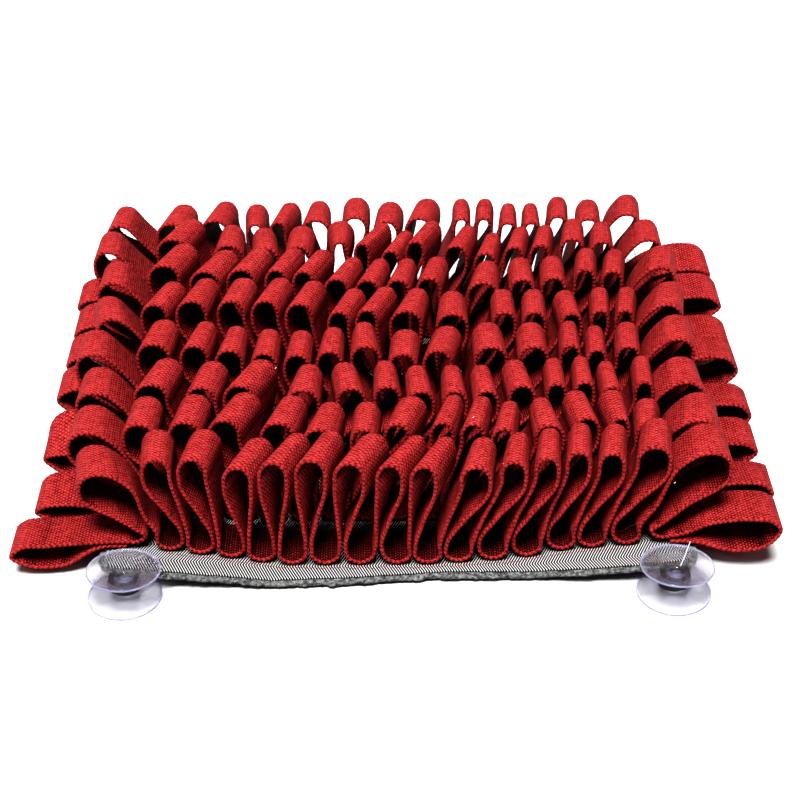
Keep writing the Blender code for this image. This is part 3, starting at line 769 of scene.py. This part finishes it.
def webbing_band(row, material):
    """One band: a grid rolled round the section, closed along its seam and at its ends."""
    skin, weave, length = band_surface(row)
    steps, ring = skin.shape[:2]
    bm = bmesh.new()
    bmesh.ops.create_grid(bm, x_segments=ring, y_segments=steps - 1, size=1.0)
    place = bm.verts.layers.float_vector.new("weave")
    bend = bm.verts.layers.float.new("bend")
    for vert in bm.verts:
        around = round((vert.co.x + 1.0) / 2.0 * ring) % ring
        step = round((vert.co.y + 1.0) / 2.0 * (steps - 1))
        vert[place] = weave[step, around, :3]
        vert[bend] = weave[step, around, 3]
        vert.co = skin[step, around] * MM
    bmesh.ops.remove_doubles(bm, verts=bm.verts, dist=BAND_WELD_M)
    rims = [edge for edge in bm.edges if edge.is_boundary]
    bmesh.ops.holes_fill(bm, edges=rims, sides=0)
    bmesh.ops.recalc_face_normals(bm, faces=bm.faces)
    band = link_mesh(bm, f"red_webbing_band_{row + 1}", material, smooth=True)
    fit_piece(band, f"webbing_row_{row + 1}")


def woven_face(graph, place, bend):
    """Height of the webbing's face: ribs across the band beaded by its yarns, with gaps between
    them, raised on the outer side of a bend as a painted light and lowered on the inner side of a
    fold as a painted shade."""
    along, across, _ = graph.parts(place)
    drift = graph.noise(place, WEAVE_DRIFT)
    rib = graph.plus(graph.math("DIVIDE", along, RIB_PITCH), drift)
    yarn = graph.plus(graph.math("DIVIDE", across, YARN_PITCH), drift)
    rib_wave = graph.wave(rib, 1.0, "COSINE")
    half_rib_wave = graph.wave(rib, 2.0, "COSINE")
    yarn_wave = graph.wave(yarn, 2.0, "COSINE")
    beads = graph.times(graph.times(rib_wave, yarn_wave), BEAD_RELIEF)
    relief = graph.minus(CROSSING_RELIEF, graph.times(bend, CROSSING_FADE))
    crossings = graph.times(graph.times(half_rib_wave, yarn_wave), relief)
    ribs = graph.times(rib_wave, graph.minus(RIB_RELIEF, graph.times(bend, RIB_FADE)))
    yarns = graph.times(yarn_wave, YARN_RELIEF)
    # Painted shade: the tone falls on the inner side of a fold; painted light: it rises on the outer
    # side of a bend.
    closed = graph.times(graph.math("MINIMUM", bend, 0.0), INNER_FOLD_SHADE)
    bend_light_and_shade = graph.plus(graph.times(bend, OUTER_BEND_LIGHT), closed)
    weave = graph.plus(graph.plus(beads, crossings), graph.plus(ribs, yarns))
    return graph.plus(graph.plus(weave, FACE_LEVEL), bend_light_and_shade)


def braided_edge(graph, place):
    """Height of the webbing's edge: a braid whose turns slant out from its middle plane."""
    along, _, out = graph.parts(place)
    slant = graph.times(graph.math("ABSOLUTE", out), BRAID_SLANT)
    twist = graph.plus(graph.math("DIVIDE", along, SCALLOP_PITCH), slant)
    twist = graph.plus(twist, graph.noise(place, BRAID_DRIFT))
    return graph.plus(graph.times(graph.wave(twist, 1.0, "COSINE"), BRAID_RELIEF), BRAID_LEVEL)


def webbing_material():
    """Coarse red webbing with painted shade in the gaps of its weave and on the inner side of folds,
    painted light on the outer side of bends, with fibres and darker patches.
    """
    graph = Graph("red_webbing")
    place = graph.attribute("weave").outputs["Vector"]
    bend = graph.attribute("bend").outputs["Fac"]
    across = graph.parts(place)[1]
    edge = graph.math("GREATER_THAN", graph.math("ABSOLUTE", across), EDGE_START)
    face = graph.times(woven_face(graph, place, bend), graph.minus(1.0, edge))
    height = graph.plus(face, graph.times(braided_edge(graph, place), edge))
    stretched = graph.add("ShaderNodeVectorMath", {0: place, 1: FIBRE_STRETCH}, operation="MULTIPLY")
    fibre = graph.noise(stretched.outputs[0], WEB_FIBRES, middle=0.5)
    height = graph.plus(height, graph.plus(fibre, graph.noise(place, WEB_UNEVEN, middle=0.5)))
    patch = graph.noise(place, WEB_PATCHES)
    # The ramp paints shade into the gaps of the weave, and through the bend into the folds.
    colour = graph.mix(patch, graph.ramp(height, WEBBING_REDS_GAP_SHADE), WEB_PATCH_TINT, "MULTIPLY")
    graph.bump(height, depth=0.5, strength=0.8)
    return graph.finish(colour, Roughness=0.75, Specular_IOR_Level=0.12)


def herringbone_material():
    """Black and white herringbone: slanting stripes that turn back along lines in x."""
    graph = Graph("herringbone_cloth")
    place = graph.object_place()
    x, y, _ = graph.parts(place)
    band = graph.math("PINGPONG", graph.plus(y, HERRING_START * MM), HERRING_BAND * MM)
    wander = graph.noise(place, HERRING_WANDER)
    slant = graph.plus(graph.plus(x, wander), graph.times(band, HERRING_SLANT))
    stripe = graph.wave(slant, STRIPE_PITCH * MM)
    pick = graph.wave(y, PICK_PITCH * MM)
    tone = graph.plus(graph.plus(graph.times(stripe, 0.5), 0.5), graph.times(pick, PICK_RELIEF))
    tone = graph.plus(tone, graph.noise(place, HERRING_FIBRES, middle=0.5))
    graph.bump(tone, depth=0.3, strength=0.7)
    return graph.finish(graph.ramp(tone, HERRING_GREYS), Roughness=0.85, Specular_IOR_Level=0.15)


def felt_material():
    """Needle felt of mixed fibres: light and dark flecks in clumps."""
    graph = Graph("grey_felt")
    place = graph.object_place()
    tone = graph.plus(graph.noise(place, FELT_CLUMPS), graph.noise(place, FELT_FLECKS))
    graph.bump(tone, depth=0.8, strength=1.0)
    return graph.finish(graph.ramp(tone, FELT_GREYS), Roughness=0.95, Specular_IOR_Level=0.1)


def backing_material():
    """Black non-slip cloth with small raised dots and red stitch lines under the seams of every
    other row, from the front one.
    """
    graph = Graph("black_backing")
    place = graph.object_place()
    x, y, _ = graph.parts(place)
    dots = graph.times(graph.wave(x, DOT_PITCH * MM), graph.wave(y, DOT_PITCH * MM))
    tone = graph.plus(graph.times(dots, DOT_RELIEF), graph.noise(place, BACKING_WEAVE))
    seam = graph.math("PINGPONG", graph.minus(y, FRONT_ROW_Y * MM), ROW_PITCH * MM)
    near = graph.math("LESS_THAN", seam, STITCH_HALF * MM)
    dash = graph.math("GREATER_THAN", graph.wave(x, STITCH_PITCH * MM), STITCH_GAP)
    stitch = graph.times(near, dash)
    colour = graph.mix(stitch, graph.ramp(tone, BACKING_BLACKS), SEAM_RED)
    graph.bump(graph.plus(tone, stitch), depth=0.4, strength=0.8)
    return graph.finish(colour, Roughness=0.85, Specular_IOR_Level=0.2)


def tape_material():
    """Black woven tape: fine ribs and a faint sheen."""
    graph = Graph("black_tape")
    place = graph.object_place()
    x, y, _ = graph.parts(place)
    ribs = graph.times(graph.wave(y, TAPE_RIB * MM), graph.wave(x, TAPE_RIB * MM))
    tone = graph.plus(graph.plus(graph.times(ribs, 0.5), 0.5), graph.noise(place, TAPE_FIBRES))
    graph.bump(tone, depth=0.2, strength=0.8)
    return graph.finish(graph.ramp(tone, TAPE_BLACKS), Roughness=0.7, Specular_IOR_Level=0.3)


def vinyl_material():
    """Clear soft vinyl, violet towards its edges and where it is thick, with faint flow marks."""
    graph = Graph("clear_vinyl")
    flow = graph.noise(graph.object_place(), VINYL_FLOW)
    rim = graph.attribute("rim").outputs["Fac"]
    aslant = graph.add("ShaderNodeLayerWeight", {"Blend": 0.5}).outputs["Facing"]
    aslant = graph.math("POWER", aslant, ASLANT_POWER)
    colour = graph.mix(aslant, graph.ramp(flow, CLEAR_WHITES), ASLANT_VIOLET)
    colour = graph.mix(graph.times(rim, RIM_TINT), colour, RIM_VIOLET)
    thick = graph.add("ShaderNodeVolumeAbsorption",
                      {"Color": opaque(DEPTH_VIOLET), "Density": VINYL_DENSITY})
    graph.feed(graph.tree.nodes["Material Output"].inputs["Volume"], thick.outputs[0])
    graph.bump(flow, depth=0.4, strength=0.25)
    cover = graph.plus(graph.times(rim, RIM_COVER), VINYL_COVER)
    clearness = graph.minus(VINYL_CLEARNESS, graph.times(rim, RIM_COVER))
    return graph.finish(colour, Roughness=graph.ramp(flow, VINYL_HAZE), Alpha=cover,
                        Transmission_Weight=clearness, IOR=VINYL_IOR)


def mottled_material(name, grain, colours, **values):
    """A plain stuff, a little uneven in tone."""
    graph = Graph(name)
    tone = graph.noise(graph.object_place(), grain)
    return graph.finish(graph.ramp(tone, colours), **values)


def frosted_material():
    """The same vinyl where it is rough and whitish, on the sprue left at a cup's hub."""
    return mottled_material("frosted_vinyl", FROSTED_TONE, FROSTED_WHITES, Roughness=0.35,
                            Transmission_Weight=0.3, IOR=VINYL_IOR)


def lint_material():
    """Pale pink lint."""
    return mottled_material("pale_lint", LINT_TONE, LINT_PINKS, Roughness=0.9,
                            Specular_IOR_Level=0.1)


def thread_material():
    """Red sewing thread."""
    return mottled_material("red_thread", THREAD_TONE, THREAD_REDS, Roughness=0.7,
                            Specular_IOR_Level=0.2)


# Base

def base_outline(x, y, grow):
    """Moves a point of the square -1..1 to its place in a layer of the base."""
    half_x, rear = BASE_HALF_X + grow, BASE_REAR + grow
    front = BASE_FRONT + set_back(FRONT_EDGE, x * half_x) - grow
    px, py = x * half_x, front + (y + 1.0) / 2.0 * (rear - front)
    centre = Vector((math.copysign(half_x - CORNER_ROUND, x),
                     rear - CORNER_ROUND if y > 0 else front + CORNER_ROUND))
    away = Vector((px, py)) - centre
    if abs(px) > abs(centre.x) and (away.y > 0) == (y > 0):
        away *= max(abs(away.x), abs(away.y)) / away.length
        px, py = centre.x + away.x, centre.y + away.y
    return px, py


def edge_depth(x, y, grow):
    """Distance of a point in from the nearest edge of a layer of the base."""
    front = BASE_FRONT + set_back(FRONT_EDGE, x) - grow
    return max(0.0, min(BASE_HALF_X + grow - abs(x), BASE_REAR + grow - y, y - front))


def ragged_shift(place, layer):
    """How far a layer's uneven edge moves a point near it."""
    share = max(0.0, 1.0 - edge_depth(place.x, place.y, layer.grow) / RAGGED_DEPTH)
    shift = noise.noise_vector(place * RAGGED_FINE) * layer.ragged
    shift += noise.noise_vector(place * RAGGED_COARSE) * layer.ragged
    shift.z *= RAGGED_RISE
    return shift * share


def is_rim(edge, thickness):
    """True for the sharp edges round the top and the underside of a sheet."""
    rise = abs(edge.verts[0].co.z - edge.verts[1].co.z)
    return edge.calc_face_angle(0.0) > SHARP_ANGLE and rise < thickness / 2


def base_layer(layer, material):
    """A layer of the base: a grid laid on the lift, thickened, its edge rounded and uneven."""
    bm = bmesh.new()
    bmesh.ops.create_grid(bm, x_segments=BASE_COLUMNS, y_segments=BASE_LINES, size=1.0)
    for vert in bm.verts:
        x, y = base_outline(vert.co.x, vert.co.y, layer.grow)
        vert.co = (x, y, base_lift(x, y) + layer.bottom)
    thicken(bm, layer.thickness)
    rim = [edge for edge in bm.edges if is_rim(edge, layer.thickness)]
    bmesh.ops.bevel(bm, geom=rim, offset=layer.thickness * EDGE_ROUND, segments=2, profile=0.5,
                    affect="EDGES", material=-1)
    for vert in bm.verts:
        vert.co += ragged_shift(vert.co, layer)
    to_metres(bm)
    piece = link_mesh(bm, layer.name, material, smooth=True)
    fit_piece(piece, layer.node)


def add_base():
    """The base: backing, felt on it, and the herringbone face on top."""
    noise.seed_set(EDGE_SEED)
    base_layer(BACKING, backing_material())
    base_layer(FELT, felt_material())
    base_layer(FACE, herringbone_material())


# Threads and lint

def add_strand(name, runs, thickness, material):
    """Thin round strands as one piece, each along a smooth run of places."""
    curve = bpy.data.curves.new(name, "CURVE")
    curve.dimensions = "3D"
    curve.bevel_depth = thickness / 2 * MM
    curve.bevel_resolution = 1
    curve.use_fill_caps = True
    for run in runs:
        line = smooth_run([Place(*place) for place in run], STRAND_STEPS)
        spline = curve.splines.new("POLY")
        spline.points.add(len(line) - 1)
        for point, place in zip(spline.points, line):
            point.co = (*(place * MM), 1.0)
    curve.materials.append(material)
    strand = link(name, curve)
    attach(strand, "root")


def lint_runs():
    """The two ends of every speck of lint."""
    return [(place, [at + reach for at, reach in zip(place, LINT_REACH)]) for place in LINT_SPECKS]


def cloth_top(x, y):
    """Height of the face cloth's upper side."""
    return base_lift(x, y) + FACE.bottom + FACE.thickness


def front_stitches():
    """The red thread of the front row's seam, lying in stitches on the cloth before the folds."""
    last = ROW_COUNT - 1
    runs = []
    x = -SEAM_THREAD_REACH
    while x < SEAM_THREAD_REACH:
        y = seam_line(last, x) - WEB_WIDTH / 2 - SEAM_THREAD_OUT
        run = []
        for step in (0.0, 0.5, 1.0):
            px = x + step * STITCH_LENGTH
            stray = noise.noise(Vector((px * SEAM_THREAD_BENDS, SEAM_THREAD_LINE, 0.0)))
            lift = SEAM_THREAD_LIFT * (1.0 + math.sin(math.pi * step))
            run.append((px, y + stray * SEAM_THREAD_WANDER, cloth_top(px, y) + lift))
        runs.append(run)
        x += STITCH_SPACING
    return runs


# Cups and tabs

def cup_profile(bm):
    """Half of a cup's section as a smooth chain of edges; returns its vertices and edges."""
    line = smooth_run([Place(radius, 0.0, height) for radius, height in CUP_SECTION], SECTION_STEPS)
    chain = [bm.verts.new((max(0.0, x), 0.0, z)) for x, _, z in line]
    return chain + [bm.edges.new(pair) for pair in zip(chain, chain[1:])]


def suction_cup(corner, x, y, material):
    """A clear double suction cup: its half section, spun about its neck, and leant a little."""
    bm = bmesh.new()
    bmesh.ops.spin(bm, geom=cup_profile(bm), axis=(0.0, 0.0, 1.0), cent=(0.0, 0.0, 0.0),
                   steps=CUP_STEPS, angle=2 * math.pi, use_merge=True)
    bmesh.ops.remove_doubles(bm, verts=bm.verts, dist=CUP_WELD)
    bmesh.ops.recalc_face_normals(bm, faces=bm.faces)
    lean = CUP_LEAN[corner]
    rim = bm.verts.layers.float.new("rim")
    for vert in bm.verts:
        vert[rim] = max(0.0, (vert.co.xy.length - RIM_START) / (CUP_RADIUS - RIM_START)) ** 2
        lift = vert.co.z / CUP_HEIGHT
        dish = min(1.0, max(0.0, (vert.co.z - CUP_HEIGHT / 2) / DISH_RUN))
        vert.co.z -= (vert.co.y * lean.tip_y + vert.co.x * lean.tip_x) * dish
        vert.co.x += lean.x * lift
        vert.co.y += lean.y * lift
    bmesh.ops.translate(bm, verts=bm.verts, vec=(x, y, 0.0))
    to_metres(bm)
    cup = link_mesh(bm, f"clear_cup_{corner}", material, smooth=True)
    fit_piece(cup, f"suction_cup_{corner}")


def tab_circle(bm, radius):
    """A circle of a tab, the same number of steps for its hole as for its rim."""
    return bmesh.ops.create_circle(bm, cap_ends=False, radius=radius, segments=TAB_STEPS)["verts"]


def is_outward(edge):
    """True for an edge that runs from a tab's hole to its rim."""
    near, far = edge.verts
    return abs(near.co.length - far.co.length) > RING_STEP


def cup_tab(corner, x, y, material):
    """A black tape tab with a round end, pierced for the cup's neck."""
    toward_base = -1.0 if y > 0 else 1.0
    bm = bmesh.new()
    tab_circle(bm, TAB_HOLE_RADIUS)
    for vert in tab_circle(bm, TAB_HALF_WIDTH):
        if vert.co.y * toward_base > 0:
            vert.co *= 1.0 / max(abs(vert.co.x) / TAB_HALF_WIDTH, abs(vert.co.y) / TAB_INNER)
    bmesh.ops.bridge_loops(bm, edges=bm.edges[:])
    outward = [edge for edge in bm.edges if is_outward(edge)]
    bmesh.ops.subdivide_edges(bm, edges=outward, cuts=TAB_RINGS, use_grid_fill=True)
    for vert in bm.verts:
        px, py = vert.co.x + x, vert.co.y + y
        vert.co = (px, py, base_lift(px, py) - TAB_GAP - TAB_THICK)
    thicken(bm, TAB_THICK)
    to_metres(bm)
    tab = link_mesh(bm, f"tape_tab_{corner}", material, smooth=False)
    soften = tab.modifiers.new("soft_edge", "BEVEL")
    soften.width = TAB_EDGE * MM
    soften.segments = 2
    soften.limit_method = "ANGLE"
    fit_piece(tab, f"cup_tab_{corner}")


def add_corners():
    """A cup and a tab at each corner."""
    tape, vinyl = tape_material(), vinyl_material()
    for along, side_y in (("front", -1), ("rear", 1)):
        for across, side_x in (("left", -1), ("right", 1)):
            corner = f"{along}_{across}"
            suction_cup(corner, side_x * CUP_X, side_y * CUP_Y, vinyl)
            cup_tab(corner, side_x * CUP_X, side_y * CUP_Y, tape)


# Camera, floor and light

def add_camera():
    """The camera, at the photograph's viewing angle."""
    data = bpy.data.cameras.new("camera")
    data.lens = CAMERA_LENS
    data.sensor_width = CAMERA_SENSOR
    data.clip_start = CAMERA_NEAR_M
    camera = link("camera", data)
    ahead = Vector((-math.sin(CAMERA_YAW), math.cos(CAMERA_YAW), -math.tan(CAMERA_PITCH)))
    turn = ahead.to_track_quat("-Z", "Y").to_matrix().to_4x4()
    camera.matrix_world = Matrix.Translation(Vector(CAMERA_PLACE) * MM) @ turn
    bpy.context.scene.camera = camera


def add_floor():
    """A plain pale floor, just under the mat."""
    bm = bmesh.new()
    bmesh.ops.create_grid(bm, x_segments=1, y_segments=1, size=FLOOR_REACH_M)
    pale = Graph("pale_floor").finish(FLOOR_COLOUR, Roughness=0.9)
    floor = link_mesh(bm, "floor", pale, smooth=False)
    floor.location.z = -FLOOR_DROP_M


def add_key():
    """The key light: a sun with a wide spread, from above and a little in front of the mat."""
    data = bpy.data.lights.new("key", "SUN")
    data.energy = KEY_STRENGTH
    data.angle = KEY_SPREAD
    link("key", data).rotation_euler = Vector(KEY_TOWARD).to_track_quat("-Z", "Y").to_euler()


def add_strip(strip):
    """A weak area light that looks at the mat's middle and shines on the cups."""
    data = bpy.data.lights.new(strip.name, "AREA")
    data.size = strip.size_m
    data.energy = strip.power
    lamp = link(strip.name, data)
    lamp.location = strip.place_m
    lamp.rotation_euler = (-Vector(strip.place_m)).to_track_quat("-Z", "Y").to_euler()


def add_light():
    """A dim white world, the key and the strips."""
    world = bpy.data.worlds.new("studio")
    world.use_nodes = True
    sky = world.node_tree.nodes["Background"].inputs
    sky["Color"].default_value = (1.0, 1.0, 1.0, 1.0)
    sky["Strength"].default_value = WORLD_STRENGTH
    bpy.context.scene.world = world
    view = bpy.context.scene.view_settings
    view.view_transform = "Standard"
    view.look = "High Contrast"
    add_key()
    for strip in STRIPS:
        add_strip(strip)


def build():
    """Every piece of the mat, then the camera, the floor and the light."""
    red = webbing_material()
    for row in range(ROW_COUNT):
        webbing_band(row, red)
    add_base()
    thread = thread_material()
    add_strand("front_seam_stitches", front_stitches(), SEAM_THREAD_THICK, thread)
    add_strand("loose_thread_ends", LOOSE_ENDS, LOOSE_END_THICK, thread)
    add_strand("lint_specks", lint_runs(), LINT_THICK, lint_material())
    add_strand("cup_sprue", (SPRUE,), SPRUE_THICK, frosted_material())
    add_corners()
    add_camera()
    add_floor()
    add_light()


build()
